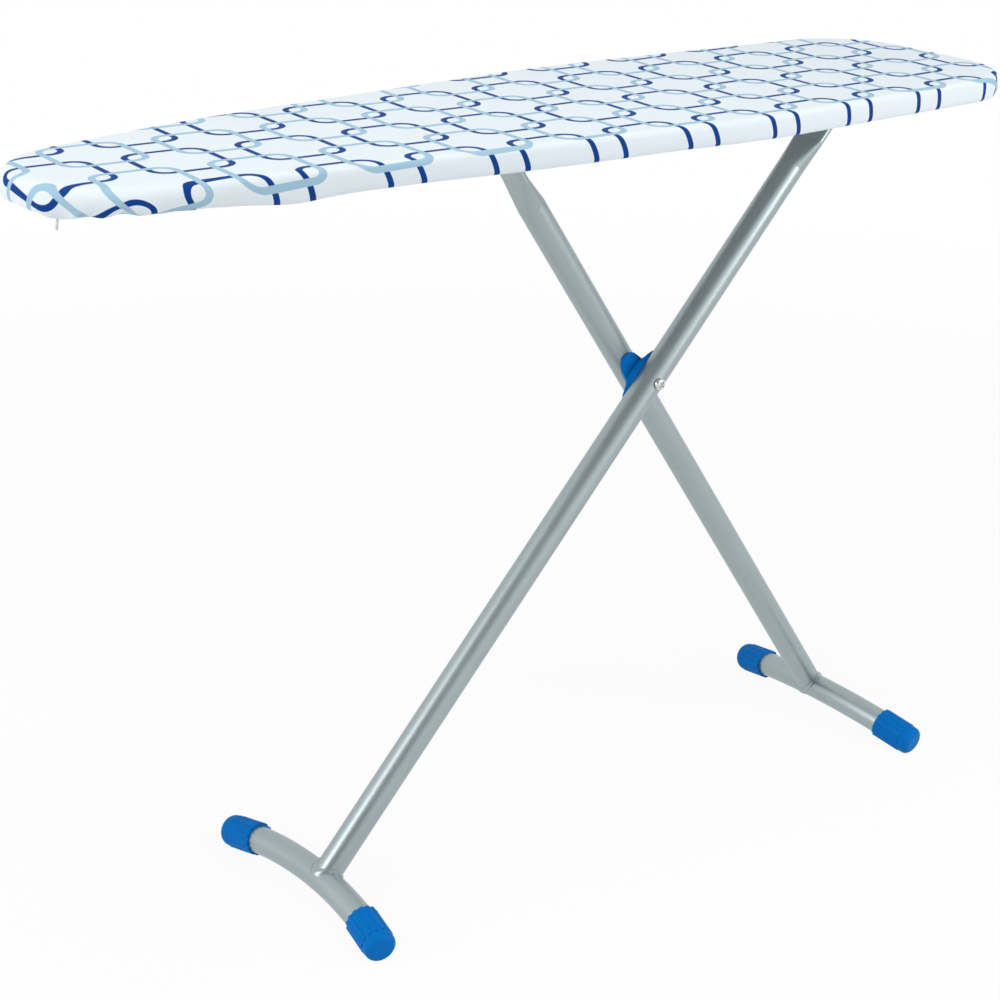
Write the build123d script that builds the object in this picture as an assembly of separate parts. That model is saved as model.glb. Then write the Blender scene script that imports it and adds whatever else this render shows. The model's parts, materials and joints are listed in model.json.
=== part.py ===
from build123d import *
import math
import os

# Folding ironing board on two crossed tube legs with bowed feet, in millimetres.
# +X points to the wide end and -X to the nose, +Z is up, the front leg lies on the -Y side.
# The origin is on the floor under the middle of the board.

# Plan of the board, over the cover
length = 1236.0
nose_half_width = 96.5
shoulder_half_width = 178.5
tail_half_width = 140.0
shoulder_x = 103.0
nose_radius = 103.0
shoulder_radius = 1200.0
tail_radius = 66.0

# Layers of the board
top_height = 879.3
cover_thickness = 1.2
cover_edge_radius = 7.0
skirt_depth = 30.6
nose_skirt_depth = 32.6
nose_skirt_run = 130.0
hem_width = 28.0
pad_thickness = 7.0
sheet_thickness = 1.0
sheet_inset = 8.0
rim_depth = 20.4
rim_lip = 8.0
rim_edge_radius = 4.0
soft_gap = 0.3

# Vent holes of the sheet
vent_diameter = 9.0
vent_pitch = 40.0
vent_margin = 24.0

# Legs: the tube and the three pivots, placed from the board's wide end and from the fixed pivot
pivot_drop = 40.3
fixed_pivot_inset = 187.0
sliding_pivot_run = 477.0
crossing_run = 269.0
crossing_z = 539.5
leg_offset = 20.0
tube_diameter = 32.0
tube_wall = 1.2
crimp_start = 97.0
crimp_end = 57.0
crimp_corner = 9.0
crimp_slack = 0.25
tongue_rounding = 0.4

# Cross rods at the upper ends
rod_diameter = 8.0
rod_fit = 0.05
rod_cap_diameter = 15.0
rod_cap_grip = 4.0
rod_cap_wall = 1.5

# Feet and their caps
foot_bow_radius = 600.0
cap_mid_span = 132.6
cap_mid_height = 20.3
cap_length = 54.0
cap_rib_radius = 19.4
cap_rib_length = 40.0
cap_end_radius = 18.4
cap_end_rounding = 8.0
cap_end_wall = 12.0
flute_count = 14
flute_radius = 4.0
flute_depth = 1.3
weld_size = 2.6

# Crossing bolt and its spacer saddles
bolt_diameter = 8.0
bolt_fit = 0.06
bolt_head_diameter = 14.5
bolt_head_height = 4.2
bolt_head_rounding = 3.4
recess_length = 8.6
recess_width = 1.8
recess_depth = 1.4
nut_diameter = 12.5
nut_height = 4.6
saddle_reach = 31.0
saddle_lip = 5.0
saddle_gap = 0.4

# Rails, glides and brackets
side_clearance = 1.9
rail_sheet = 1.5
rail_strip = 6.0
rail_flange = 9.0
rail_top_flange = 16.0
rail_end_margin = 22.0
track_steps = 8
glide_diameter = 14.0
shoe_length = 56.0
shoe_height = 18.0
shoe_corner = 5.0
shoe_thickness = 3.0
glide_fit = 0.1
slide_clearance = 0.6
running_gap = 0.3
bracket_sheet = 2.0
bracket_top_width = 70.0
bracket_eye_radius = 13.0
bracket_flange = 16.0

# Folding: turns of the rear leg for one turn of the front leg, and room between the folded pieces
rear_ratio = 1.10
fold_clearance = 0.8
hem_clearance = 1.5

# Lock lever
cam_thickness = 5.0
cam_throw = 0.6
lever_hub_diameter = 14.0
lever_thickness = 3.5
lever_width = 12.0
lever_reach = 96.0
grip_length = 58.0
grip_width = 19.0
grip_thickness = 10.0
grip_rounding = 4.0

# Loose end of the hem's drawcord
cord_diameter = 3.0
cord_inset = 14.0
cord_bearing = 210.0
cord_fall = 7.0
cord_flare = 3.0

# Derived places
pivot_z = top_height - pivot_drop
fixed_pivot_x = length / 2 - fixed_pivot_inset
sliding_pivot_x = fixed_pivot_x - sliding_pivot_run
crossing_x = fixed_pivot_x - crossing_run
pad_top = top_height - cover_thickness
sheet_top = pad_top - pad_thickness
sheet_under = sheet_top - sheet_thickness
tube_radius = tube_diameter / 2
rise = pivot_z - crossing_z
front_angle = math.atan2(rise, fixed_pivot_x - crossing_x)
rear_angle = math.atan2(rise, crossing_x - sliding_pivot_x)
front_upper = math.hypot(rise, fixed_pivot_x - crossing_x)
rear_upper = math.hypot(rise, crossing_x - sliding_pivot_x)
foot_sag = foot_bow_radius - math.sqrt(foot_bow_radius**2 - cap_mid_span**2)
front_lower = (crossing_z - cap_mid_height) / math.sin(front_angle) - foot_sag
rear_lower = (crossing_z - cap_mid_height) / math.sin(rear_angle) - foot_sag

# The legs fold until the front tube lies just under the nose hem, or the rear rod just over the front tube
hem_room = tube_radius + nose_skirt_depth + hem_clearance - pivot_drop
closed_front = math.atan2(hem_room, fixed_pivot_x + length / 2)
closed_spread = math.asin((tube_radius + rod_diameter / 2 + fold_clearance) / min(front_upper, rear_upper))
fold_angle = min(front_angle - closed_front, (front_angle + rear_angle - closed_spread) / (1 + rear_ratio))

# Flattened upper end of a leg, with the tube's girth
flat_thickness = rod_diameter + 2 * (rod_fit + crimp_slack + tube_wall)
flat_width = flat_thickness + math.pi * (tube_diameter - flat_thickness) / 2
rail_inner = leg_offset + flat_width / 2 + side_clearance
rail_outer = rail_inner + rail_sheet
glide_outer = rail_outer + running_gap + shoe_thickness
cam_inner = glide_outer + running_gap
grip_skin = (grip_thickness - lever_thickness) / 2
lever_inner = max(cam_inner + cam_thickness, rail_outer + rail_flange + 2 * running_gap + grip_skin)
lever_outer = lever_inner + lever_thickness
slot_height = glide_diameter + 2 * slide_clearance
flange_drop = slot_height / 2 + rail_strip
cord_bend = 0.45 * cord_fall / math.tan(math.atan2(cord_flare, cord_fall) / 2)

front_place = Location((crossing_x, -leg_offset, crossing_z), (0, 90 - math.degrees(front_angle), 0))
rear_place = Location((crossing_x, leg_offset, crossing_z), (0, math.degrees(rear_angle) - 90, 0))


def plan(inset):
    """Face of the board's outline on the XY plane, drawn in by an inset."""
    side = [(-length / 2, nose_half_width), (shoulder_x, shoulder_half_width), (length / 2, tail_half_width)]
    ring = side + [(x, -y) for x, y in reversed(side)]
    radii = [nose_radius, shoulder_radius, tail_radius]
    face = make_face(FilletPolyline(*ring, radius=radii + radii[::-1], close=True))
    return offset(face, amount=-inset) if inset else face


def slab(face, low, high):
    """A plan face raised between two heights."""
    return extrude(Pos(0, 0, low) * face, amount=high - low)


def upright(face, near, far):
    """A face drawn in X and Z, thickened along Y between two places."""
    return extrude(Plane.XZ.offset(-far) * face, amount=far - near)


def y_bar(x, z, radius, near, far):
    """A round bar along Y."""
    return upright(Pos(x, z) * Circle(radius), near, far)


def top_edges(solid):
    """Edges round the uppermost face."""
    return solid.faces().sort_by(Axis.Z)[-1].edges()


def below_hem(lift):
    """What lies under the hem line, which drops towards the nose."""
    nose = -length / 2
    margin = length
    hem = top_height - skirt_depth + lift
    nose_hem = top_height - nose_skirt_depth + lift
    ring = [(nose - margin, 0), (nose - margin, nose_hem), (nose, nose_hem), (nose + nose_skirt_run, hem)]
    ring += [(length / 2 + margin, hem), (length / 2 + margin, 0)]
    return upright(make_face(Polyline(*ring, close=True)), -length, length)


def make_cover():
    """Cotton cover: top, skirt and the hem that is turned in under the rim."""
    low = top_height - nose_skirt_depth
    outer = slab(plan(0), low, top_height)
    outer = fillet(top_edges(outer), cover_edge_radius) - below_hem(0)
    inner = slab(plan(cover_thickness), low, pad_top)
    inner = fillet(top_edges(inner), cover_edge_radius - cover_thickness) - below_hem(cover_thickness)
    mouth = slab(plan(hem_width), low - cover_thickness, sheet_top)
    return outer - inner - mouth


def make_pad():
    """Foam pad between the sheet and the cover."""
    pad = slab(plan(cover_thickness + soft_gap), sheet_top, pad_top)
    return fillet(top_edges(pad), cover_edge_radius - cover_thickness + soft_gap)


def vents():
    """Staggered vent holes, kept clear of the rim."""
    field = plan(sheet_inset + vent_margin)
    row_step = vent_pitch * math.sqrt(3) / 2
    rows = int(shoulder_half_width / row_step)
    columns = int(length / vent_pitch)
    spots = []
    for row in range(-rows, rows + 1):
        for column in range(-columns, columns + 1):
            spot = Vector((column + 0.5 * (row % 2)) * vent_pitch, row * row_step, 0)
            if field.is_inside(spot):
                spots.append(spot)
    return Sketch() + [Pos(spot) * Circle(vent_diameter / 2) for spot in spots]


def make_board_top():
    """Perforated sheet with a turned-down rim and a lip."""
    low = sheet_top - rim_depth
    pan = fillet(top_edges(slab(plan(sheet_inset), low, sheet_top)), rim_edge_radius)
    hollow = slab(plan(sheet_inset + sheet_thickness), low + sheet_thickness, sheet_under)
    hollow = fillet(top_edges(hollow), rim_edge_radius - sheet_thickness)
    mouth = slab(plan(sheet_inset + sheet_thickness + rim_lip), low, sheet_under)
    return pan - hollow - mouth - slab(vents(), sheet_under, sheet_top)


def rod_at(fold):
    """Place of the rear rod in X and Z when the front leg has folded by an angle."""
    front = front_angle - fold
    rear = rear_angle - rear_ratio * fold
    x = fixed_pivot_x - front_upper * math.cos(front) - rear_upper * math.cos(rear)
    z = pivot_z - front_upper * math.sin(front) + rear_upper * math.sin(rear)
    return (x, z)


def track(drop, margin):
    """The rod's track in X and Z, lowered by a drop and run on along its chord by a margin at each end."""
    points = [rod_at(fold_angle * step / track_steps) for step in range(track_steps + 1)]
    if margin:
        (x1, z1), (x2, z2) = points[0], points[-1]
        climb = margin * (z2 - z1) / (x1 - x2)
        points = [(x1 + margin, z1 - climb)] + points + [(x2 - margin, z2 + climb)]
    return Spline(*[(x, z - drop) for x, z in points])


def band(upper, lower):
    """Face between two lines of the track."""
    return Face(Wire([upper, Line(upper @ 1, lower @ 1), lower, Line(upper @ 0, lower @ 0)]))


def make_rail():
    """Far rail: slotted web with a flange to the sheet and a flange for the lock's cam."""
    low = track(flange_drop + rail_sheet, rail_end_margin)
    right, left = low @ 0, low @ 1
    head = Line((right.X, sheet_under), (left.X, sheet_under))
    web = upright(band(head, low), rail_inner, rail_outer)
    slot = upright(band(track(-slot_height / 2, 0), track(slot_height / 2, 0)), rail_inner, rail_outer)
    for fold in (0, fold_angle):
        slot += y_bar(*rod_at(fold), slot_height / 2, rail_inner, rail_outer)
    flange = upright(band(track(flange_drop, rail_end_margin), low), rail_outer, rail_outer + rail_flange)
    top = Box(right.X - left.X, rail_top_flange, rail_sheet, align=(Align.MIN, Align.MIN, Align.MAX))
    return web - slot + flange + Pos(left.X, rail_outer, sheet_under) * top


def make_bracket():
    """Far bracket: cheek that carries the front leg's rod."""
    top = Line((fixed_pivot_x - bracket_top_width / 2, sheet_under),
               (fixed_pivot_x + bracket_top_width / 2, sheet_under))
    eye = Pos(fixed_pivot_x, pivot_z) * Circle(bracket_eye_radius)
    cheek = upright(make_hull(eye.edges() + [top]), rail_inner, rail_inner + bracket_sheet)
    flange = Box(bracket_top_width, bracket_flange, bracket_sheet, align=(Align.CENTER, Align.MIN, Align.MAX))
    cheek += Pos(fixed_pivot_x, rail_inner + bracket_sheet, sheet_under) * flange
    bore = rod_diameter / 2 + rod_fit
    return cheek - y_bar(fixed_pivot_x, pivot_z, bore, rail_inner, rail_inner + bracket_sheet)


def tube_section(radius):
    """Round section in four arcs, with short arcs where the flats start."""
    turn = crimp_corner
    spans = [(-turn, 2 * turn), (turn, 180 - 2 * turn), (180 - turn, 2 * turn), (180 + turn, 180 - 2 * turn)]
    return Face(Wire([CenterArc((0, 0), radius, start, span) for start, span in spans]))


def flat_section(thickness, width):
    """Flattened section: two flats across the leg's plane and rounded edges."""
    x, y = thickness / 2, (width - thickness) / 2
    right, left = Line((x, -y), (x, y)), Line((-x, y), (-x, -y))
    upper = ThreePointArc((x, y), (0, width / 2), (-x, y))
    lower = ThreePointArc((-x, -y), (0, -width / 2), (x, -y))
    return Face(Wire([right, upper, left, lower]))


def leg_blank(radius, thickness, width, upper, lower):
    """Round bar along Z that flattens towards its rounded upper end at the rod."""
    start, end = upper - crimp_start, upper - crimp_end
    bar = extrude(Pos(0, 0, -lower) * tube_section(radius), amount=start + lower)
    bar += loft([Pos(0, 0, start) * tube_section(radius), Pos(0, 0, end) * flat_section(thickness, width)])
    tongue = extrude(Pos(0, 0, end) * flat_section(thickness, width), amount=upper - end + thickness / 2)
    return bar + fillet(top_edges(tongue), thickness * tongue_rounding)


def make_leg(place, foot_bar, upper, lower):
    """Tube with its flattened end, bored for the rod and the crossing bolt and coped to the foot."""
    outer = leg_blank(tube_radius, flat_thickness, flat_width, upper, lower)
    inner_width = flat_width - 2 * tube_wall
    hollow = leg_blank(tube_radius - tube_wall, flat_thickness - 2 * tube_wall, inner_width, upper, lower)
    tube = outer - hollow - y_bar(0, upper, rod_diameter / 2 + rod_fit, -flat_width, flat_width)
    tube -= y_bar(0, 0, bolt_diameter / 2 + bolt_fit, -tube_diameter, tube_diameter)
    return place * tube - foot_bar


def foot_bar(place, side, lower, radius, end):
    """Bowed round bar across the lower end of a leg, up to an arc length each way."""
    apex = (0, 0, -lower)
    turn = end / foot_bow_radius
    across, down = foot_bow_radius * math.sin(turn), foot_bow_radius * (1 - math.cos(turn))
    path = ThreePointArc((0, -across, -lower - down), apex, (0, across, -lower - down))
    bar = sweep(Plane(path @ 0, x_dir=(1, 0, 0), z_dir=path % 0) * Circle(radius), path)
    return place * Pos(0, -side * leg_offset, 0) * bar


def make_foot(place, side, lower):
    """Foot tube, open at both ends under its caps."""
    bar = foot_bar(place, side, lower, tube_radius, foot_end)
    return bar - foot_bar(place, side, lower, tube_radius - tube_wall, foot_end)


def make_weld(place, side, lower):
    """Fillet bead round the joint of a leg and its foot."""
    around_leg = extrude(Circle(tube_radius + weld_size), amount=tube_diameter)
    leg = extrude(Circle(tube_radius), amount=tube_diameter)
    near_foot = foot_bar(Location(), side, 0, tube_radius + weld_size, tube_diameter * 2)
    foot = foot_bar(Location(), side, 0, tube_radius, tube_diameter * 2)
    bead = (around_leg - leg) & (near_foot - foot)
    return place * Pos(0, 0, -lower) * bead


def cap_blank():
    """Cap along Z, centred on its length: a fluted sleeve and a plain rounded end."""
    out = cap_rib_radius + flute_radius - flute_depth
    flutes = [spot * Circle(flute_radius) for spot in PolarLocations(out, flute_count)]
    sleeve = extrude(Circle(cap_rib_radius) - flutes, amount=cap_rib_length)
    end = Cylinder(cap_end_radius, cap_length - cap_rib_length, align=(Align.CENTER, Align.CENTER, Align.MIN))
    end = fillet(top_edges(end), cap_end_rounding)
    return Pos(0, 0, -cap_length / 2) * (sleeve + Pos(0, 0, cap_rib_length) * end)


def make_cap(place, side, lower):
    """Cap on the far end of a foot, with the floor worn flat into its sole."""
    tilt = math.degrees(math.asin(cap_mid_span / foot_bow_radius))
    seat = Pos(0, cap_mid_span - side * leg_offset, -lower - foot_sag)
    cap = place * seat * Rot(-90 - tilt, 0, 0) * cap_blank()
    floor = Box(length, length, cap_length, align=(Align.CENTER, Align.CENTER, Align.MAX))
    return cap - foot_bar(place, side, lower, tube_radius, foot_end) - floor


def make_saddle(place, side):
    """Half spacer that cups one tube at the crossing and meets its twin at the mid-plane."""
    reach = tube_diameter * 2
    shell = leg_offset - saddle_gap / 2
    cup = Pos(0, 0, -reach) * extrude(Circle(shell) - Circle(tube_radius + bolt_fit), amount=2 * reach)
    trim = y_bar(0, 0, saddle_reach, *sorted((-side * saddle_lip, -side * leg_offset)))
    bore = y_bar(0, 0, bolt_diameter / 2 + bolt_fit, -tube_diameter, tube_diameter)
    return place * ((cup & trim) - bore)


def make_bolt():
    """Crossing bolt with a domed head on the front leg."""
    face = leg_offset + tube_radius + bolt_fit
    shank = y_bar(crossing_x, crossing_z, bolt_diameter / 2, -face, face + nut_height / 2)
    head = y_bar(crossing_x, crossing_z, bolt_head_diameter / 2, -face - bolt_head_height, -face)
    head = fillet(head.faces().sort_by(Axis.Y)[0].edges(), bolt_head_rounding)
    for turn in (0, 90):
        slot = Box(recess_length, recess_depth * 2, recess_width)
        head -= Pos(crossing_x, -face - bolt_head_height, crossing_z) * Rot(0, turn + 45, 0) * slot
    return shank + head


def make_nut():
    """Domed nut on the rear leg's side of the crossing bolt."""
    face = leg_offset + tube_radius + running_gap
    nut = y_bar(crossing_x, crossing_z, nut_diameter / 2, face, face + nut_height)
    nut = fillet(nut.faces().sort_by(Axis.Y)[-1].edges(), nut_height / 2)
    tip = leg_offset + tube_radius + bolt_fit + nut_height / 2
    return nut - y_bar(crossing_x, crossing_z, bolt_diameter / 2, face, tip)


def make_rod_caps(x, near, far):
    """Push-on caps over the two ends of a rod, from the near face and the far face outwards."""
    caps = []
    for seat, side in ((near, -1), (far, 1)):
        body = sorted((seat, seat + side * (rod_cap_grip + rod_cap_wall)))
        bore = sorted((seat, seat + side * rod_cap_grip))
        cap = y_bar(x, pivot_z, rod_cap_diameter / 2, *body) - y_bar(x, pivot_z, rod_diameter / 2, *bore)
        outer = cap.faces().sort_by(Axis.Y)[-1 if side > 0 else 0]
        caps.append(fillet(outer.edges(), rod_cap_wall))
    return Compound(children=caps)


def make_rod(x, near, far):
    """Rod along Y that ends inside its two caps."""
    return y_bar(x, pivot_z, rod_diameter / 2, near - rod_cap_grip, far + rod_cap_grip)


def make_glide():
    """Far glide: round bush in the rail's slot with a long shoe outside, which keeps it level."""
    boss = y_bar(sliding_pivot_x, pivot_z, glide_diameter / 2, rail_inner, rail_outer + running_gap)
    shoe = Pos(sliding_pivot_x, pivot_z) * RectangleRounded(shoe_length, shoe_height, shoe_corner)
    boss += upright(shoe, rail_outer + running_gap, glide_outer)
    return boss - y_bar(sliding_pivot_x, pivot_z, rod_diameter / 2 + glide_fit, rail_inner, glide_outer)


def lever_arm(width, reach):
    """Outline of the lever's arm in X and Z, from the rod towards the wide end."""
    return Pos(sliding_pivot_x + reach / 2, pivot_z) * SlotOverall(reach + width, width)


def make_lever():
    """Lever with an eccentric cam that clamps down on the near rail's flange."""
    cam_radius = flange_drop - running_gap - cam_throw
    bore = rod_diameter / 2 + glide_fit
    cam = y_bar(sliding_pivot_x, pivot_z - cam_throw, cam_radius, -cam_inner - cam_thickness, -cam_inner)
    hub = y_bar(sliding_pivot_x, pivot_z, lever_hub_diameter / 2, -lever_outer, -cam_inner)
    arm = upright(lever_arm(lever_width, lever_reach), -lever_outer, -lever_inner)
    return cam + hub + arm - y_bar(sliding_pivot_x, pivot_z, bore, -lever_outer, -cam_inner)


def make_grip():
    """Plastic sleeve on the lever's end."""
    middle = (lever_outer + lever_inner) / 2
    end = sliding_pivot_x + lever_reach + lever_width / 2
    sleeve = Box(grip_length, grip_thickness, grip_width)
    sleeve = fillet(sleeve.edges(), grip_rounding)
    sleeve = Pos(end + grip_thickness / 2 - grip_length / 2, -middle, pivot_z) * sleeve
    return sleeve - upright(lever_arm(lever_width, lever_reach), -lever_outer, -lever_inner)


def hem_height(x):
    """Height of the hem's under side at a place along the board."""
    share = min(1, (x + length / 2) / nose_skirt_run)
    return top_height - nose_skirt_depth + share * (nose_skirt_depth - skirt_depth)


def make_cord():
    """Short loose end of the drawcord: it falls from the hem at the nose, then swings outwards."""
    bearing = math.radians(cord_bearing)
    out_x, out_y = math.cos(bearing), math.sin(bearing)
    reach = nose_radius - cord_inset
    x, y = nose_radius - length / 2 + reach * out_x, reach * out_y
    z = hem_height(x) - soft_gap
    knee = (x, y, z - cord_fall)
    end = (x + cord_flare * out_x, y + cord_flare * out_y, z - 2 * cord_fall)
    path = FilletPolyline((x, y, z), knee, end, radius=cord_bend)
    return sweep(Plane((x, y, z), z_dir=path % 0) * Circle(cord_diameter / 2), path)


# A foot tube stops inside its caps, one end wall short of their ends
foot_end = foot_bow_radius * math.asin(cap_mid_span / foot_bow_radius) + cap_length / 2 - cap_end_wall
front_foot_solid = foot_bar(front_place, -1, front_lower, tube_radius, foot_end)
rear_foot_solid = foot_bar(rear_place, 1, rear_lower, tube_radius, foot_end)
bracket_face = rail_inner + bracket_sheet + running_gap
rail_far, bracket_far, glide_far = make_rail(), make_bracket(), make_glide()
front_cap_far = make_cap(front_place, -1, front_lower)
rear_cap_far = make_cap(rear_place, 1, rear_lower)

parts = {
    "board_top": make_board_top(),
    "foam_pad": make_pad(),
    "cover": make_cover(),
    "drawcord_tail": make_cord(),
    "rail_near": mirror(rail_far, about=Plane.XZ),
    "rail_far": rail_far,
    "bracket_near": mirror(bracket_far, about=Plane.XZ),
    "bracket_far": bracket_far,
    "front_leg": make_leg(front_place, front_foot_solid, front_upper, front_lower),
    "front_rod": make_rod(fixed_pivot_x, -bracket_face, bracket_face),
    "front_rod_caps": make_rod_caps(fixed_pivot_x, -bracket_face, bracket_face),
    "front_foot": make_foot(front_place, -1, front_lower),
    "front_weld": make_weld(front_place, -1, front_lower),
    "front_cap_near": mirror(front_cap_far, about=Plane.XZ),
    "front_cap_far": front_cap_far,
    "front_saddle": make_saddle(front_place, -1),
    "pivot_bolt": make_bolt(),
    "pivot_nut": make_nut(),
    "rear_leg": make_leg(rear_place, rear_foot_solid, rear_upper, rear_lower),
    "rear_rod": make_rod(sliding_pivot_x, -lever_outer - running_gap, glide_outer + running_gap),
    "rear_rod_caps": make_rod_caps(sliding_pivot_x, -lever_outer - running_gap, glide_outer + running_gap),
    "rear_foot": make_foot(rear_place, 1, rear_lower),
    "rear_weld": make_weld(rear_place, 1, rear_lower),
    "rear_cap_near": mirror(rear_cap_far, about=Plane.XZ),
    "rear_cap_far": rear_cap_far,
    "rear_saddle": make_saddle(rear_place, 1),
    "glide_near": mirror(glide_far, about=Plane.XZ),
    "glide_far": glide_far,
    "lock_lever": make_lever(),
    "lever_grip": make_grip(),
}

os.makedirs("parts", exist_ok=True)
for name, shape in parts.items():
    export_step(shape, f"parts/{name}.step")

print("front leg", round(math.degrees(front_angle), 3), "deg")
print("rear leg", round(math.degrees(rear_angle), 3), "deg")
print("fold", round(math.degrees(fold_angle), 3), "deg, drawcord radius", round(cord_bend, 2))
print("rod track", [tuple(round(v, 2) for v in rod_at(fold_angle * n / 4)) for n in range(5)])
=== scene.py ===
# %% [markdown]
# # A folding ironing board
# The board has a padded, tapered top with a printed cotton cover. It stands on two crossed steel
# tubes with bowed feet and blue plastic caps. The rigid pieces come finished from the CAD frame, and
# this lesson gives them their surfaces. The cloth, the foam, the cord and the cups at the crossing are
# made here, because they have soft shapes that the CAD solids don't have.

# %% Load the frame
import json
import math

import bmesh
import bpy
from mathutils import Matrix, Vector, noise


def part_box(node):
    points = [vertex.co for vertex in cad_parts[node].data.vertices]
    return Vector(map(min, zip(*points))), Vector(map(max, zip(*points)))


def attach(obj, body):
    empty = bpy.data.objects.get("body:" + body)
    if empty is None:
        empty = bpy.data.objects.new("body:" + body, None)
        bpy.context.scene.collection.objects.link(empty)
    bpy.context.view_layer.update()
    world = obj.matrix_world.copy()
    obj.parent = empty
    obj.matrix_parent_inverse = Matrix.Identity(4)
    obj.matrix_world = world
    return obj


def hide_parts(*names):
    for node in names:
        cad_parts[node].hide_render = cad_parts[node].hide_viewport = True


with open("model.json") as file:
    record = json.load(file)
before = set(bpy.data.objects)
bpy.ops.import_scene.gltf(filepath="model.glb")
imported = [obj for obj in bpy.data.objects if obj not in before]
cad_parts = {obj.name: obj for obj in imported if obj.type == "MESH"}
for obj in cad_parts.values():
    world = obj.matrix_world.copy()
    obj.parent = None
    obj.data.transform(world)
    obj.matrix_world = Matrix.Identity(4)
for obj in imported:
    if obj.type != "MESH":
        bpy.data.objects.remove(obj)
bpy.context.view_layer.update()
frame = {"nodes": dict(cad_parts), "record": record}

nodes = frame["nodes"]
mm = 0.001

# %% [markdown]
# ## Camera
# The camera stands where the photographer stood. Its place was fitted to the outline of the board, the
# three pivots and the four caps. The lens is given by its focal length in pixels of a picture that is
# 1000 pixels wide, and a small shift puts the optical axis where the fit found it.

# %% Camera
image_pixels = 1000
film_width = 36
focal_pixels = 2236.07
axis_pixel_x, axis_pixel_y = 515.79, 493.01
azimuth, elevation, roll = math.radians(-38.28), math.radians(21.45), math.radians(1.56)
target = Vector((-16.85, 0, 431.62)) * mm
distance = 2550.87 * mm

back = Vector((math.sin(azimuth) * math.cos(elevation), -math.cos(azimuth) * math.cos(elevation),
               math.sin(elevation)))
level_right = Vector((math.cos(azimuth), math.sin(azimuth), 0))
level_up = back.cross(level_right)
right = level_right * math.cos(roll) + level_up * math.sin(roll)
up = level_up * math.cos(roll) - level_right * math.sin(roll)

lens = bpy.data.cameras.new("camera")
lens.sensor_width = film_width
lens.lens = focal_pixels / image_pixels * film_width
lens.shift_x = 0.5 - axis_pixel_x / image_pixels
lens.shift_y = axis_pixel_y / image_pixels - 0.5
camera = bpy.data.objects.new("camera", lens)
turned = Matrix((right, up, back)).transposed().to_4x4()
camera.matrix_world = Matrix.Translation(target + back * distance) @ turned
bpy.context.scene.collection.objects.link(camera)
bpy.context.scene.camera = camera
print("camera at", tuple(round(v, 3) for v in camera.matrix_world.translation))

# %% [markdown]
# ## Shader maths
# Every surface below is worked out from coordinates by shader nodes. A Math node for each sum would be
# long to write, so one small class wraps an output socket and lets Python's operators add those nodes.

# %% A socket that does maths
class Flow:
    """An output of a shader node. An operator adds the Math node that it stands for."""

    def __init__(self, tree, socket=None):
        self.tree = tree
        self.socket = socket

    def node(self, kind, settings=None, inputs=None, output=0):
        """Adds any node: its settings first, then the values or links of its sockets."""
        made = self.tree.nodes.new("ShaderNode" + kind)
        for name, value in (settings or {}).items():
            setattr(made, name, value)
        self.feed(made, inputs or {})
        return Flow(self.tree, made.outputs[output])

    def feed(self, node, inputs):
        """Sets each socket of a node to a value, or links it to a flow."""
        for name, value in inputs.items():
            if isinstance(value, Flow):
                self.tree.links.new(value.socket, node.inputs[name])
            else:
                node.inputs[name].default_value = value

    def math(self, operation, *values):
        return self.node("Math", {"operation": operation}, dict(enumerate(values)))

    def __add__(self, other):
        return self.math("ADD", self, other)

    def __sub__(self, other):
        return self.math("SUBTRACT", self, other)

    def __rsub__(self, other):
        return self.math("SUBTRACT", other, self)

    def __mul__(self, other):
        return self.math("MULTIPLY", self, other)

    def __truediv__(self, other):
        return self.math("DIVIDE", self, other)

    def __abs__(self):
        return self.math("ABSOLUTE", self)

    __radd__ = __add__
    __rmul__ = __mul__

    def smooth(self, low, high):
        """0 below low, 1 above high and a soft step between."""
        return self.node("MapRange", {"interpolation_type": "SMOOTHSTEP"},
                         {"Value": self, "From Min": low, "From Max": high})

    def mix(self, colour_0, colour_1):
        """Colour between two others, with this value as the share of the second."""
        return self.node("Mix", {"data_type": "RGBA"}, {0: self, 6: colour_0, 7: colour_1}, output=2)


def noise_flow(flow, place, scale, detail=2.0):
    """Soft noise around 0.5 with features of about 1 / scale metres."""
    return flow.node("TexNoise", {}, {"Vector": place, "Scale": scale, "Detail": detail}, output="Fac")


def bump(flow, height, depth, strength):
    """Normal of a surface whose relief is a flow from 0 to 1 times a depth in metres."""
    return flow.node("Bump", {}, {"Height": height, "Distance": depth, "Strength": strength},
                     output="Normal")


def start_finish(name):
    """A new material with its principled shader and an empty flow of its tree."""
    material = bpy.data.materials.new(name)
    material.use_nodes = True
    return material, material.node_tree.nodes["Principled BSDF"], Flow(material.node_tree)


# %% [markdown]
# ## Floor and light
# A product picture of this kind has a white sweep and large soft lamps. The floor takes the object's
# shadow, and both floor and world look white to the camera and in reflections, which costs the object
# no extra light. Two things depart from that. The floor is clear from below, so that the underside can
# be looked at. One soft dark patch of the studio, above the camera, shows in reflections only, and draws
# the dark band that runs along the tubes.

# %% Floor, world and lamps
white = (1, 1, 1, 1)
floor_grey = (0.86, 0.86, 0.86, 1)
floor_half = 40.0
floor_lift = 0.93
shadow_reach = (1.3, 3.2)
ambient = 0.39
dark_way = Vector((-0.59, -0.43, 0.69)).normalized()
dark_edge, dark_core = math.radians(43), math.radians(17)
dark_share = 0.7
lamp_aim = Vector((0, 0, 0.6))


def seen_ray(flow):
    """1 for rays from the camera, reflections and clear materials, and 0 for rays that gather light."""
    names = ("Is Camera Ray", "Is Glossy Ray", "Is Transmission Ray")
    straight, mirrored, through = (flow.node("LightPath", output=name) for name in names)
    return flow.math("MAXIMUM", flow.math("MAXIMUM", straight, mirrored), through)


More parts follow.
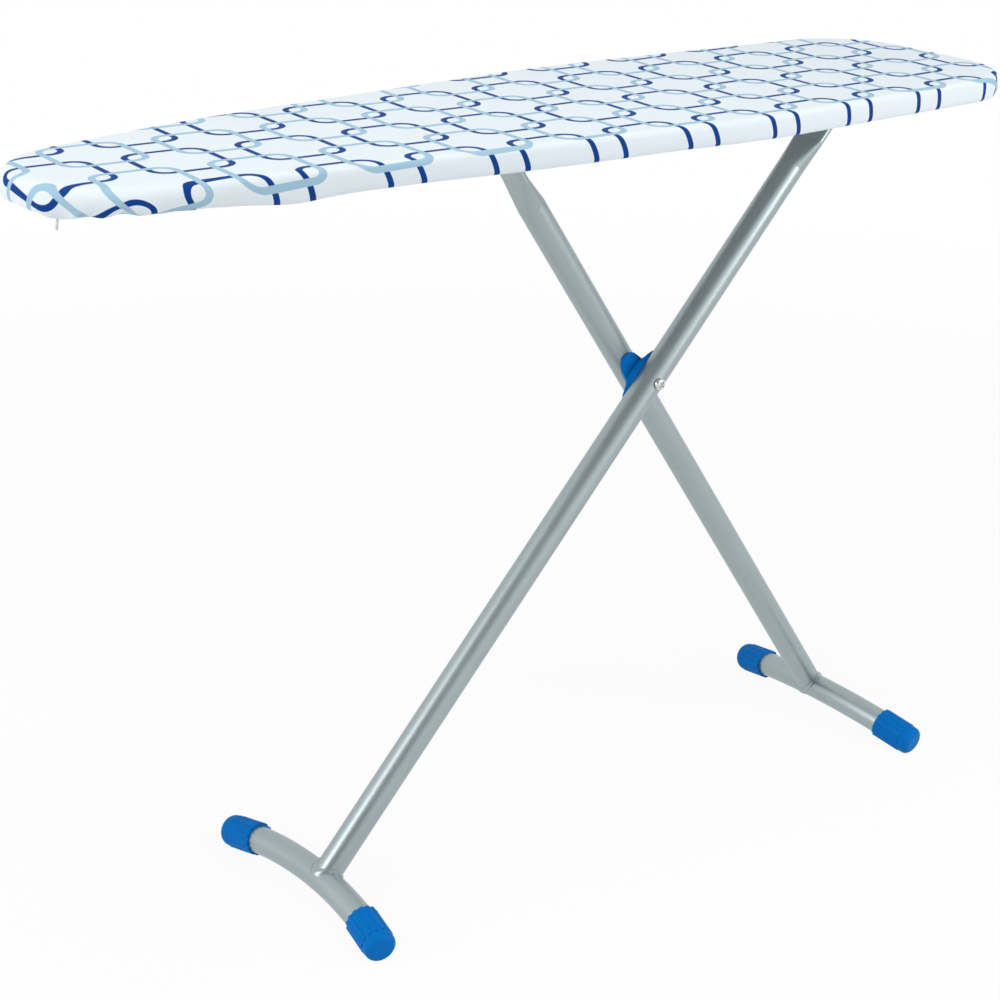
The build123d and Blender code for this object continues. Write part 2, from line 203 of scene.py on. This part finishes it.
mesh = bmesh.new()
bmesh.ops.create_grid(mesh, x_segments=1, y_segments=1, size=floor_half)
floor_mesh = bpy.data.meshes.new("floor")
mesh.to_mesh(floor_mesh)
mesh.free()
floor = bpy.data.objects.new("floor", floor_mesh)
bpy.context.scene.collection.objects.link(floor)

floor_finish, floor_shader, flow = start_finish("floor")
flow.feed(floor_shader, {"Base Color": floor_grey, "Roughness": 0.9, "Specular IOR Level": 0.0})
glow = flow.node("Emission", {}, {"Color": white, "Strength": 1.0})
matte = Flow(flow.tree, floor_shader.outputs[0])
place = flow.node("TexCoord", output="Object")
away = flow.node("VectorMath", {"operation": "LENGTH"}, {0: place}, output="Value")
lift = away.smooth(*shadow_reach) * (1 - floor_lift) + floor_lift
from_above = flow.node("MixShader", {}, {0: seen_ray(flow) * lift, 1: matte, 2: glow})
below = flow.node("NewGeometry", output="Backfacing")
clear = flow.node("BsdfTransparent")
floor_mix = flow.node("MixShader", {}, {0: below, 1: from_above, 2: clear})
flow.feed(floor_finish.node_tree.nodes["Material Output"], {"Surface": floor_mix})
floor_mesh.materials.append(floor_finish)

world = bpy.data.worlds.new("studio")
world.use_nodes = True
bpy.context.scene.world = world
flow = Flow(world.node_tree)
ray_way = flow.node("TexCoord", output="Generated")
facing = flow.node("VectorMath", {"operation": "DOT_PRODUCT"}, {0: ray_way, 1: dark_way}, output="Value")
mirrored = flow.node("LightPath", output="Is Glossy Ray")
dark_patch = facing.smooth(math.cos(dark_edge), math.cos(dark_core)) * mirrored * dark_share
strength = seen_ray(flow) * (1 - ambient) + ambient - dark_patch
flow.feed(world.node_tree.nodes["Background"], {"Color": white, "Strength": strength})
bpy.context.scene.view_settings.view_transform = "Standard"


def add_lamp(name, place, size, power):
    """A soft box of a width and a height, turned to the middle of the board's stand."""
    light = bpy.data.lights.new(name, "AREA")
    light.shape = "RECTANGLE"
    light.size, light.size_y = size
    light.energy = power
    lamp = bpy.data.objects.new(name, light)
    turn = (lamp_aim - Vector(place)).to_track_quat("-Z", "Y")
    lamp.matrix_world = Matrix.Translation(Vector(place)) @ turn.to_matrix().to_4x4()
    bpy.context.scene.collection.objects.link(lamp)


add_lamp("overhead_box", (-0.4, -0.5, 3.6), (2.0, 2.0), 43)
add_lamp("right_box", (1.7, -2.7, 1.7), (0.8, 1.9), 45)
add_lamp("left_box", (-2.9, 0.4, 1.5), (1.5, 1.9), 38)
print("stage and lamps ready")

# %% [markdown]
# ## Printed cotton
# The cover is white cotton with two lattices of rounded squares. The dark lattice is printed first and
# the pale one, half a step off both ways, lies over it. A square's outline is a distance field: the
# distance to a rounded square, cut to the width of the line. The cloth's own map gives the flat place of
# each point in metres, so the print bends over the edge as real cloth does.

# %% Printed cotton
print_step_x, print_step_y = 119.9 * mm, 121.4 * mm
print_start_x, print_start_y = -453.9 * mm, -52.4 * mm
print_slant, print_tilt = 0.0588, -0.0157
print_middle_x = 100 * mm
print_bend = 9.1 * mm / (400 * mm) ** 2
print_half = 41.6 * mm
print_corner = 16.1 * mm
dark_line, pale_line = 6.6 * mm, 7.2 * mm
print_blur = 0.7 * mm
dark_blue, pale_blue = (0.001, 0.05, 0.255, 1), (0.36, 0.56, 0.70, 1)
dim_white, bright_white = (0.77, 0.85, 0.90, 1), (0.81, 0.88, 0.92, 1)
thread_step, thread_depth = 0.55 * mm, 0.12 * mm
shade_scale, slub_scale = 9.0, 420.0
cotton_rough, rough_spread = 0.82, 0.12


def square_outlines(along, across, shift, line):
    """1 on the lines of a lattice of rounded squares, from places counted in steps."""
    straight = print_half - print_corner
    x = abs(along.math("WRAP", along + shift, 0.5, -0.5)) * print_step_x - straight
    y = abs(across.math("WRAP", across + shift, 0.5, -0.5)) * print_step_x - straight
    corner_x, corner_y = x.math("MAXIMUM", x, 0), y.math("MAXIMUM", y, 0)
    corner = x.math("SQRT", corner_x * corner_x + corner_y * corner_y)
    inside = x.math("MINIMUM", x.math("MAXIMUM", x, y), 0)
    off_line = abs(corner + inside - print_corner) - line / 2
    return 1 - off_line.smooth(-print_blur / 2, print_blur / 2)


def make_cotton():
    """White cotton with the two lattices, on places that the cloth's own map gives."""
    material, shader, flow = start_finish("printed_cotton")
    place = flow.node("UVMap", {"uv_map": "print"}, output="UV")
    u, v = (flow.node("SeparateXYZ", {}, {0: place}, output=axis) for axis in "XY")
    past = u - print_middle_x
    across = (v - print_start_y - past * print_tilt - past * past * print_bend) / print_step_y
    along = (u - print_start_x - v * print_slant) / print_step_x
    ground = noise_flow(flow, place, shade_scale).mix(dim_white, bright_white)
    dark = square_outlines(along, across, 0.0, dark_line)
    pale = square_outlines(along, across, 0.5, pale_line)
    printed = pale.mix(dark.mix(ground, dark_blue), pale_blue)
    turns = 2 * math.pi / thread_step
    warp, weft = u * turns, v * turns
    weave = warp.math("SINE", warp) * weft.math("SINE", weft)
    slub = noise_flow(flow, place, slub_scale)
    flow.feed(shader, {"Base Color": printed, "Roughness": cotton_rough + (slub - 0.5) * rough_spread,
                       "Specular IOR Level": 0.12, "Sheen Weight": 0.04,
                       "Normal": bump(flow, weave * 0.5 + slub, thread_depth, 0.5)})
    return material


cotton = make_cotton()
print("printed cotton ready")

# %% [markdown]
# ## Metal, plastic, foam and cord
# The tubes have a satin silver paint: a metallic base with very fine flakes. The sheet, the rails and the
# brackets under it are enamelled, and bright zinc covers the bolt, the rods and the lever. The caps and
# the cups at the crossing are moulded plastic with a fine grain. Each finish varies a little over the
# surface, because no real paint or moulding is perfectly even.

# %% Painted and plated metal
drift_scale, drift_share = 14.0, 0.6


def make_metal(name, dim, bright, metallic, rough, flake_scale, flake_depth, coat):
    """Painted or plated metal: a colour that drifts between two tones, and flakes in its relief."""
    material, shader, flow = start_finish(name)
    place = flow.node("TexCoord", output="Object")
    drift = noise_flow(flow, place, drift_scale)
    flakes = noise_flow(flow, place, flake_scale, 1.0)
    tone = (drift * drift_share + flakes * (1 - drift_share)).mix((*dim, 1), (*bright, 1))
    flow.feed(shader, {"Base Color": tone, "Metallic": metallic,
                       "Roughness": rough + (drift - 0.5) * rough_spread, "Coat Weight": coat,
                       "Normal": bump(flow, flakes, flake_depth, 0.35)})
    return material


silver = make_metal("silver_paint", (0.315, 0.37, 0.385), (0.385, 0.45, 0.465), metallic=0.84,
                    rough=0.38, flake_scale=1600.0, flake_depth=0.012 * mm, coat=0.0)
enamel = make_metal("sheet_enamel", (0.46, 0.48, 0.49), (0.56, 0.58, 0.59), metallic=0.35,
                    rough=0.46, flake_scale=500.0, flake_depth=0.06 * mm, coat=0.1)
zinc = make_metal("bright_zinc", (0.55, 0.57, 0.56), (0.72, 0.73, 0.71), metallic=1.0,
                  rough=0.30, flake_scale=260.0, flake_depth=0.05 * mm, coat=0.0)
print("metals ready:", silver.name, enamel.name, zinc.name)

# %% Moulded plastic
mark_scale, grain_scale = 35.0, 2200.0
grain_spread = 0.1
plastic_shine = 0.06


def make_plastic(name, colour, lighter, rough, grain_depth):
    """Moulded plastic: even colour with a faint flow mark and a fine eroded grain."""
    material, shader, flow = start_finish(name)
    place = flow.node("TexCoord", output="Object")
    marks = noise_flow(flow, place, mark_scale)
    grain = noise_flow(flow, place, grain_scale, 1.0)
    flow.feed(shader, {"Base Color": marks.mix((*colour, 1), (*lighter, 1)),
                       "Roughness": rough + (grain - 0.5) * grain_spread,
                       "Specular IOR Level": plastic_shine,
                       "Normal": bump(flow, grain, grain_depth, 0.4)})
    return material


blue = make_plastic("blue_plastic", (0.0, 0.15, 0.50), (0.0, 0.175, 0.56), rough=0.48,
                    grain_depth=0.04 * mm)
black = make_plastic("black_plastic", (0.02, 0.02, 0.022), (0.03, 0.03, 0.032), rough=0.45,
                     grain_depth=0.05 * mm)
nylon = make_plastic("white_nylon", (0.72, 0.72, 0.69), (0.80, 0.80, 0.77), rough=0.42,
                     grain_depth=0.03 * mm)
print("plastics ready:", blue.name, black.name, nylon.name)

# %% Foam and cord
foam_tones = (0.52, 0.51, 0.46, 1), (0.70, 0.69, 0.64, 1)
cell_scale, cell_depth = 700.0, 0.4 * mm
cord_tones = (0.66, 0.68, 0.70, 1), (0.84, 0.85, 0.86, 1)
fibre_scale, fibre_depth = 3500.0, 0.1 * mm


def make_foam():
    """Open foam, whose cells give its colour and its relief."""
    material, shader, flow = start_finish("open_foam")
    place = flow.node("TexCoord", output="Object")
    cells = flow.node("TexVoronoi", {}, {"Vector": place, "Scale": cell_scale}, output="Distance")
    flow.feed(shader, {"Base Color": cells.mix(*foam_tones), "Roughness": 0.95,
                       "Specular IOR Level": 0.1, "Normal": bump(flow, cells, cell_depth, 0.6)})
    return material


def make_cord_finish():
    """Cotton cord with fine fibres."""
    material, shader, flow = start_finish("cord_cotton")
    place = flow.node("TexCoord", output="Object")
    fibres = noise_flow(flow, place, fibre_scale)
    flow.feed(shader, {"Base Color": fibres.mix(*cord_tones), "Roughness": 0.85,
                       "Specular IOR Level": 0.2, "Normal": bump(flow, fibres, fibre_depth, 0.7)})
    return material


foam, cord_cotton = make_foam(), make_cord_finish()
print("soft finishes ready:", foam.name, cord_cotton.name)

# %% [markdown]
# The record names a material slot for each CAD piece, and the slot picks the finish.

# %% Finishes of the CAD pieces
finish_of_slot = {"sheet_paint": enamel, "tube_paint": silver, "zinc": zinc, "black_plastic": black,
                  "white_plastic": nylon, "blue_plastic": blue, "cotton_print": cotton, "foam": foam,
                  "cord": cord_cotton}
for subpart in frame["record"]["subparts"]:
    piece = nodes[subpart["node"]].data
    piece.materials.clear()
    piece.materials.append(finish_of_slot[subpart["material_slot"]])

# %% [markdown]
# ## The plan of the board
# Cover and foam share one outline: a narrow rounded nose, the widest place past the middle, and a
# straight wide end with round corners. The outline starts as eight points, and a bevel of each pair of
# corners rounds them. A bevel is set by its run along the edges, which is the radius times the tangent
# of half the turn.

# %% Outline of the board
cover_low, cover_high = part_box("cover")
nose_x, nose_half_width = cover_low.x + 3 * mm, 92 * mm
flank_x, flank_half_width = -290 * mm, 139 * mm
shoulder_x, shoulder_half_width = 158 * mm, 176.5 * mm
tail_x, tail_half_width = cover_high.x + 5.6 * mm, 149.6 * mm
side_corners = [(nose_x, nose_half_width), (flank_x, flank_half_width),
                (shoulder_x, shoulder_half_width), (tail_x, tail_half_width)]
corner_radii = (99.5 * mm, 2500 * mm, 1200 * mm, 98 * mm)
corner_segments = (26, 10, 14, 16)
grid_snap = 0.02


def board_plate(inset, spacing):
    """A flat face with the board's outline, drawn in by an inset, with points a spacing apart or less."""
    mesh = bmesh.new()
    side = [Vector((x, y, 0)) for x, y in side_corners]
    ring = side + [Vector((p.x, -p.y, 0)) for p in reversed(side)]
    mesh.faces.new([mesh.verts.new(p) for p in reversed(ring)])
    for place, radius, segments in zip(side, corner_radii, corner_segments):
        at = ring.index(place)
        turn = (place - ring[at - 1]).angle(ring[at + 1] - place)
        corners = [v for v in mesh.verts if (Vector((v.co.x, abs(v.co.y), 0)) - place).length < mm]
        bmesh.ops.bevel(mesh, geom=corners, offset=radius * math.tan(turn / 2), offset_type="OFFSET",
                        segments=segments, profile=0.5, affect="VERTICES", material=-1)
    plate = list(mesh.faces)
    rim = bmesh.ops.inset_region(mesh, faces=plate, thickness=inset, use_boundary=True,
                                 use_even_offset=True)
    bmesh.ops.delete(mesh, geom=rim["faces"], context="FACES")
    for edge in list(mesh.edges):
        cuts = int(edge.calc_length() / spacing)
        if cuts:
            bmesh.ops.bisect_edges(mesh, edges=[edge], cuts=cuts)
    return mesh


def mark_outline(mesh):
    """Gives each point its flat place, its root on the outline and the way outwards."""
    flat, way, root = (mesh.verts.layers.float_vector.new(name) for name in ("flat", "way", "root"))
    for vert in mesh.verts:
        vert[flat] = vert[root] = vert.co
    edges = list(mesh.edges)
    for edge in edges:
        along = edge.verts[1].co - edge.verts[0].co
        outwards = Vector((along.y, -along.x, 0)).normalized()
        if outwards.dot((edge.verts[0].co + edge.verts[1].co) / 2 - Vector((shoulder_x, 0, 0))) < 0:
            outwards.negate()
        for vert in edge.verts:
            vert[way] += outwards
    for vert in mesh.verts:
        vert[way] = vert[way].normalized()
    return edges, (flat, way, root)


def grow_ring(mesh, edges, layers, outwards, downwards):
    """Extrudes the border by one ring, outwards and down, and carries the flat places on."""
    flat, way, root = layers
    made = bmesh.ops.extrude_edge_only(mesh, edges=edges)["geom"]
    reach = math.hypot(outwards, downwards)
    for vert in (g for g in made if isinstance(g, bmesh.types.BMVert)):
        vert.co += vert[way] * outwards - Vector((0, 0, downwards))
        vert[flat] += vert[way] * reach
    return [g for g in made if isinstance(g, bmesh.types.BMEdge) and g.is_boundary]


def cut_grid(mesh, grid):
    """Cuts the flat middle of a plate into squares, so that it can bend."""
    middle = mesh.faces.layers.int.new("middle")
    max(mesh.faces, key=lambda face: len(face.verts))[middle] = 1
    for axis, reach in enumerate((tail_x, shoulder_half_width)):
        normal = Vector((axis == 0, axis == 1, 0))
        steps = int(reach / grid)
        for step in range(-steps, steps + 1):
            faces = [f for f in mesh.faces if f[middle]]
            edges = list({e for f in faces for e in f.edges})
            verts = list({v for f in faces for v in f.verts})
            bmesh.ops.bisect_plane(mesh, geom=faces + edges + verts, dist=grid * grid_snap,
                                   plane_co=normal * step * grid, plane_no=normal)


def finish_piece(mesh, name, material, body):
    """Makes a bmesh a smooth object that rides on a body."""
    bmesh.ops.recalc_face_normals(mesh, faces=mesh.faces)
    data = bpy.data.meshes.new(name)
    mesh.to_mesh(data)
    mesh.free()
    data.materials.append(material)
    data.shade_smooth()
    piece = bpy.data.objects.new(name, data)
    bpy.context.scene.collection.objects.link(piece)
    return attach(piece, body)


# %% [markdown]
# ## The cotton cover
# The cover is cut larger than the board and pulled tight under it by a cord in its hem. So the top is
# nearly flat, the edge turns over the foam in a small roll, and the hem turns in under the rim and ends
# in a casing for the cord. The mesh is the flat plate with rings grown from its border along that
# profile. The shape is finished by small moves: the nose droops and has a rounder edge, the hem sags in
# a few places, and gathers grow towards the hem and are strongest at the nose, where the cloth crumples.

# %% Profile of the cover
cover_top = cover_high.z - 3.7 * mm
edge_roll, nose_roll = 7 * mm, 14 * mm
roll_steps = 4
flat_rim = 8 * mm
plate_inset = edge_roll + 24 * mm
column_spacing = 5.6 * mm
cover_grid = 14 * mm
cloth_thickness = 0.9 * mm
hem_depth = 27 * mm
skirt_profile = [(0.4, 11.5), (0.5, 16.5), (0.2, 21), (-0.6, 24.2), (-2.6, 26.4), (-6.5, 27.0),
                 (-14, 27.0), (-22, 27.0), (-31, 27.0), (-35.5, 27.2), (-38, 25.9), (-37, 24.4),
                 (-35, 24.4)]


def cover_profile():
    """Places past the outline and below the top, from the flat plate to the casing of the hem."""
    turns = [math.pi / 2 * step / roll_steps for step in range(roll_steps + 1)]
    roll = [(edge_roll * (math.sin(t) - 1), edge_roll * (1 - math.cos(t))) for t in turns]
    return [(-edge_roll - flat_rim, 0)] + roll + [(out * mm, down * mm) for out, down in skirt_profile]


def roll_place(over, radius):
    """Place past the outline and below the top, at a distance over an edge of this radius."""
    start = edge_roll - radius
    turn = min(max(over - start, 0) / radius, math.pi / 2)
    straight = max(over - start - radius * math.pi / 2, 0)
    flat = min(over - start, 0)
    return radius * (math.sin(turn) - 1) + flat, radius * (1 - math.cos(turn)) + straight


def ease(value, low, high):
    """Soft step from 0 to 1 between two values."""
    share = min(1, max(0, (value - low) / (high - low)))
    return share * share * (3 - 2 * share)


def bell(offset, width):
    """1 at no offset, falling softly to 0 over a few widths."""
    return math.exp(-(offset / width) ** 2)


# %% Small moves of the cloth
nose_reach, tail_reach = (60 * mm, 250 * mm), (110 * mm, 40 * mm)
nose_droop, droop_run = 1.7 * mm, 318 * mm
low_start = 11 * mm
under_reach = (3 * mm, 12 * mm)
round_reach = (13 * mm, 28 * mm)
slow_scale, fold_scale, fine_scale, fine_share = 7, 52, 115, 0.6
top_wave, side_wave = 0.5 * mm, 0.8 * mm
fold_lift, fold_hang, fold_spread = (0.35, 1.7, 0), (1.2, 1.2, 0.8), (0.5, 2.0, 0.6)
sags = [((-592 * mm, -46 * mm), 5.5 * mm, 26 * mm), ((-388 * mm, -120 * mm), 5 * mm, 42 * mm),
        ((-240 * mm, -137 * mm), -1.0 * mm, 60 * mm), ((60 * mm, -174 * mm), -1.6 * mm, 80 * mm),
        ((-600 * mm, 40 * mm), 3 * mm, 30 * mm), ((610 * mm, 30 * mm), 2 * mm, 50 * mm)]
crumple_place, crumple_width, crumple_depth = Vector((-572 * mm, -76 * mm)), 52 * mm, 8 * mm
crumple_rise, crumple_bulge, crumple_shift = 88, 73, Vector((3, 0, 0))


def over_edge(vert, layers):
    """How far along the cloth a point lies past the start of the edge's roll."""
    flat, way, root = layers
    return (vert[flat] - vert[root]).length - (plate_inset - edge_roll)


def nose_share(x):
    """1 at the nose and 0 further along the board."""
    return 1 - ease(x, nose_x + nose_reach[0], nose_x + nose_reach[1])


def droop(x):
    """How far the top lies lower at a place towards the nose."""
    share = min(1, max(0, (nose_x + droop_run - x) / droop_run))
    return nose_droop * share * share


def hem_sag(place):
    """How far the hem hangs lower at a place of the outline."""
    return sum(depth * bell((place.xy - Vector(spot)).length, width) for spot, depth, width in sags)


def fold_depth(depths, nose, tail):
    """Depth of a fold, from its depth along the sides and what the nose and the tail add, in mm."""
    side, more_at_nose, more_at_tail = depths
    return (side + more_at_nose * nose + more_at_tail * tail) * mm


def soften(mesh, layers):
    """The small moves that make the stretched profile look like cloth."""
    flat, way, root = layers
    for vert in mesh.verts:
        past = (vert.co - vert[root]).dot(vert[way]) - plate_inset
        over = over_edge(vert, layers)
        side = ease(-vert.co.z, 0, edge_roll)
        low = ease(-vert.co.z, low_start, hem_depth)
        under = low * ease(-past, *under_reach)
        nose = nose_share(vert.co.x)
        tail = ease(vert.co.x, tail_x - tail_reach[0], tail_x - tail_reach[1])
        rounder = nose * (1 - ease(over, *round_reach))
        sharp, soft = roll_place(over, edge_roll), roll_place(over, nose_roll)
        slow = noise.noise(vert[flat] * slow_scale)
        fold = noise.noise(vert[root] * fold_scale) + fine_share * noise.noise(vert[root] * fine_scale)
        crease = low * bell((vert[root].xy - crumple_place).length, crumple_width) * crumple_depth
        vert.co.z -= droop(vert.co.x) * (1 - low) + hem_sag(vert.co) * low
        vert.co.z += slow * top_wave + (low - under) * fold * fold_depth(fold_lift, nose, tail)
        vert.co.z -= under * abs(fold) * fold_depth(fold_hang, nose, tail)
        vert.co += vert[way] * (side * slow * side_wave + low * fold * fold_depth(fold_spread, nose, tail))
        vert.co += vert[way] * rounder * (soft[0] - sharp[0])
        vert.co.z -= rounder * (soft[1] - sharp[1])
        vert.co.z += crease * noise.noise(vert[root] * crumple_rise) * (1 - under)
        vert.co += vert[way] * crease * noise.noise(vert[root] * crumple_bulge + crumple_shift)
        vert.co.z += cover_top


# %% [markdown]
# The cloth's map is its flat cut, so the print would run straight over the edge. The hem's cord moves it:
# it drags the print along the sides, tightens it at the shoulders and the nose, and tugs it under at the
# near corner of the nose.

# %% Print on the pulled cloth
hem_pull, pull_run = 13 * mm, 36 * mm
pull_loss, loss_reach = 0.6, (0, 500 * mm)
tight_start = 8 * mm
shoulder_tightness, shoulder_reach, nose_tightness = 0.38, 170 * mm, 0.12
tug_place, tug_width, tug_depth = Vector((-560 * mm, -70 * mm)), 62 * mm, 11 * mm
tug_reach = 9 * mm


def print_place(vert, layers):
    """Place of a point in the print, in metres."""
    flat, way, root = layers
    over = over_edge(vert, layers)
    share = min(1, max(0, over / pull_run))
    pull = hem_pull * share * (2 - share) * vert[way].y ** 2
    pull *= 1 - pull_loss * ease(vert[root].x, *loss_reach)
    wide = bell(vert[root].x - shoulder_x, shoulder_reach)
    tightness = shoulder_tightness * wide + nose_tightness * nose_share(vert[root].x)
    tug = bell((vert[root].xy - tug_place).length, tug_width) * ease(over, -tug_reach, tug_reach)
    spot = vert[flat] - vert[way] * (max(0, over - tight_start) * tightness + tug * tug_depth)
    return spot.x - pull, spot.y


# %% Cotton cover
def make_cover():
    """The cover: a plate, its rings, the small moves and the map of the print."""
    mesh = board_plate(plate_inset, column_spacing)
    edges, layers = mark_outline(mesh)
    at = (-plate_inset, 0)
    for spot in cover_profile():
        edges = grow_ring(mesh, edges, layers, spot[0] - at[0], spot[1] - at[1])
        at = spot
    cut_grid(mesh, cover_grid)
    soften(mesh, layers)
    uv = mesh.loops.layers.uv.new("print")
    for corner in (c for face in mesh.faces for c in face.loops):
        corner[uv].uv = print_place(corner.vert, layers)
    area = sum(f.calc_area() for f in mesh.faces)
    cover = finish_piece(mesh, "cotton_cover", cotton, "board")
    wall = cover.modifiers.new("wall", "SOLIDIFY")
    wall.thickness = cloth_thickness
    wall.offset = -1
    soft = cover.modifiers.new("soft", "SUBSURF")
    soft.levels = soft.render_levels = 1
    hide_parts("cover")


make_cover()

# %% [markdown]
# ## The foam pad
# Under the cover lies a sheet of foam, pressed thin at its edges. It shows only through the vent holes
# from below. It is the same plate with a few rings and a flat under side.

# %% Foam pad
pad_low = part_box("foam_pad")[0]
pad_gap = 0.8 * mm
pad_thickness = cover_top - pad_low.z - cloth_thickness - pad_gap
pad_inset, pad_spacing, pad_grid = plate_inset - 12 * mm, 12 * mm, 24 * mm
pad_profile = [(5, 0.5), (4, 1.1), (2, 1.5)]
pad_edge, pad_lift = 0.3 * mm, 0.1 * mm
pad_tuck, pad_tuck_depth = -1 * mm, 0.2 * mm


def make_pad():
    """The foam: a plate and a few rings, set on the sheet and closed below."""
    mesh = board_plate(pad_inset, pad_spacing)
    edges, layers = mark_outline(mesh)
    for out, down in pad_profile:
        edges = grow_ring(mesh, edges, layers, out * mm, down * mm)
    cut_grid(mesh, pad_grid)
    for vert in mesh.verts:
        height = max(vert.co.z + pad_thickness - droop(vert.co.x), pad_edge)
        vert.co.z = height + pad_low.z + pad_lift
    edges = grow_ring(mesh, edges, layers, pad_tuck, pad_tuck_depth)
    bmesh.ops.contextual_create(mesh, geom=edges)
    pad = finish_piece(mesh, "foam_sheet", foam, "board")
    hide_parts("foam_pad")
    print("pad thickness", round(pad_thickness, 4))


make_pad()

# %% [markdown]
# ## The end of the drawcord
# A short cut end of the cord shows under the nose. Three twisted plies make a lobed section, and the
# section turns as it is extruded down, so the twist is real geometry.

# %% Drawcord end
cord_low, cord_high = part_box("drawcord_tail")
cord_radius = 1.5 * mm
cord_segments, cord_steps = 24, 14
cord_plies, ply_core, ply_swell = 3, 0.86, 0.16
cord_twist = math.radians(26)
swing_reach = (0.1, 1.2)
cut_inset, cut_depth = 0.4 * mm, 0.25 * mm


def make_cord_end():
    """The cord's end: a lobed disc that is extruded and turned step by step."""
    mesh = bmesh.new()
    bmesh.ops.create_circle(mesh, cap_ends=True, segments=cord_segments, radius=cord_radius * ply_core)
    for vert in mesh.verts:
        bearing = math.atan2(vert.co.y, vert.co.x)
        vert.co *= 1 + ply_swell * abs(math.cos(bearing * cord_plies / 2))
    start = Vector((cord_high.x - cord_radius, cord_high.y - cord_radius, cord_high.z))
    end = Vector((cord_low.x + cord_radius, cord_low.y + cord_radius, cord_low.z))
    bmesh.ops.translate(mesh, verts=mesh.verts, vec=start)
    tip = list(mesh.faces)
    at = start
    for step in range(1, cord_steps + 1):
        share = step / cord_steps
        swing = ease(share, *swing_reach)
        spot = Vector((start.x + (end.x - start.x) * swing, start.y + (end.y - start.y) * swing,
                       start.z + (end.z - start.z) * share))
        made = bmesh.ops.extrude_face_region(mesh, geom=tip)["geom"]
        if step > 1:
            bmesh.ops.delete(mesh, geom=tip, context="FACES_ONLY")
        tip = [g for g in made if isinstance(g, bmesh.types.BMFace)]
        verts = list({v for f in tip for v in f.verts})
        bmesh.ops.translate(mesh, verts=verts, vec=spot - at)
        bmesh.ops.rotate(mesh, verts=verts, cent=spot, matrix=Matrix.Rotation(cord_twist, 3, "Z"))
        at = spot
    bmesh.ops.inset_region(mesh, faces=tip, thickness=cut_inset, depth=cut_depth)
    cord = finish_piece(mesh, "drawcord_end", cord_cotton, "board")
    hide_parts("drawcord_tail")
    print("cord end hangs from", round(start.z, 4), "to", round(end.z, 4))


make_cord_end()

# %% [markdown]
# ## The saddle cups
# Where the legs cross, two blue plastic cups keep the tubes apart, back to back. Each is a leaf of plastic
# that hugs its own tube. A square grid is pressed to a round one, stretched to the leaf's length and rolled
# onto the tube. Its faces are then extruded away from the tube to give the wall, which is filled up to the
# middle near the bolt, and the rim is bevelled.

# %% Saddle cups
joint_place = {joint["name"]: Vector(joint["pos_m"]) for joint in frame["record"]["behaviour"]["joints"]}
crossing = joint_place["leg_crossing"]
tube_radius = 16 * mm
cup_length, cup_sweep, cup_wall = 70 * mm, math.radians(116), 3.1 * mm
cup_columns, cup_rows, cup_hole = 26, 18, 0.17
cup_play, cup_parting = 0.1 * mm, 0.2 * mm
fill_reach = (15 * mm, 30 * mm)
rim_turn, rim_bevel = 1.0, 0.9 * mm


def make_cup(leg, pivot, inwards):
    """One cup on a leg, from the leg's pivot and the way to the other leg."""
    low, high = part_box(leg)
    centre = Vector((crossing.x, (low.y + high.y) / 2, crossing.z))
    along = (crossing - joint_place[pivot]).normalized()
    beside = along.cross(inwards)
    mesh = bmesh.new()
    bmesh.ops.create_grid(mesh, x_segments=cup_columns, y_segments=cup_rows, size=1)
    middles = {face: face.calc_center_median() for face in mesh.faces}
    hole = [face for face, at in middles.items() if max(abs(at.x), abs(at.y) / 2) < cup_hole]
    bmesh.ops.delete(mesh, geom=hole, context="FACES")
    for vert in mesh.verts:
        x, y = vert.co.xy
        run = x * math.sqrt(1 - y * y / 2) * cup_length / 2
        turn = y * math.sqrt(1 - x * x / 2) * cup_sweep / 2
        out = inwards * math.cos(turn) + beside * math.sin(turn)
        vert.co = centre + along * run + out * (tube_radius + cup_play)
    made = bmesh.ops.extrude_face_region(mesh, geom=list(mesh.faces))["geom"]
    for vert in (g for g in made if isinstance(g, bmesh.types.BMVert)):
        out = vert.co - centre
        vert.co += (out - along * out.dot(along)).normalized() * cup_wall
        fill = 1 - ease(math.hypot(out.x, out.z), *fill_reach)
        vert.co.y -= (vert.co.y + inwards.y * cup_parting) * fill
    bmesh.ops.recalc_face_normals(mesh, faces=mesh.faces)
    rim = [e for e in mesh.edges if e.calc_face_angle(0) > rim_turn]
    bmesh.ops.bevel(mesh, geom=rim, offset=rim_bevel, offset_type="OFFSET", segments=3, profile=0.5,
                    affect="EDGES", material=-1)
    cup = finish_piece(mesh, leg.replace("leg", "cup"), blue, leg)
    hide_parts(leg.replace("leg", "saddle"))
    print("cup on", leg, "at", tuple(round(v, 4) for v in centre))


make_cup("front_leg", "fold", Vector((0, 1, 0)))
make_cup("rear_leg", "rod_in_glides", Vector((0, -1, 0)))
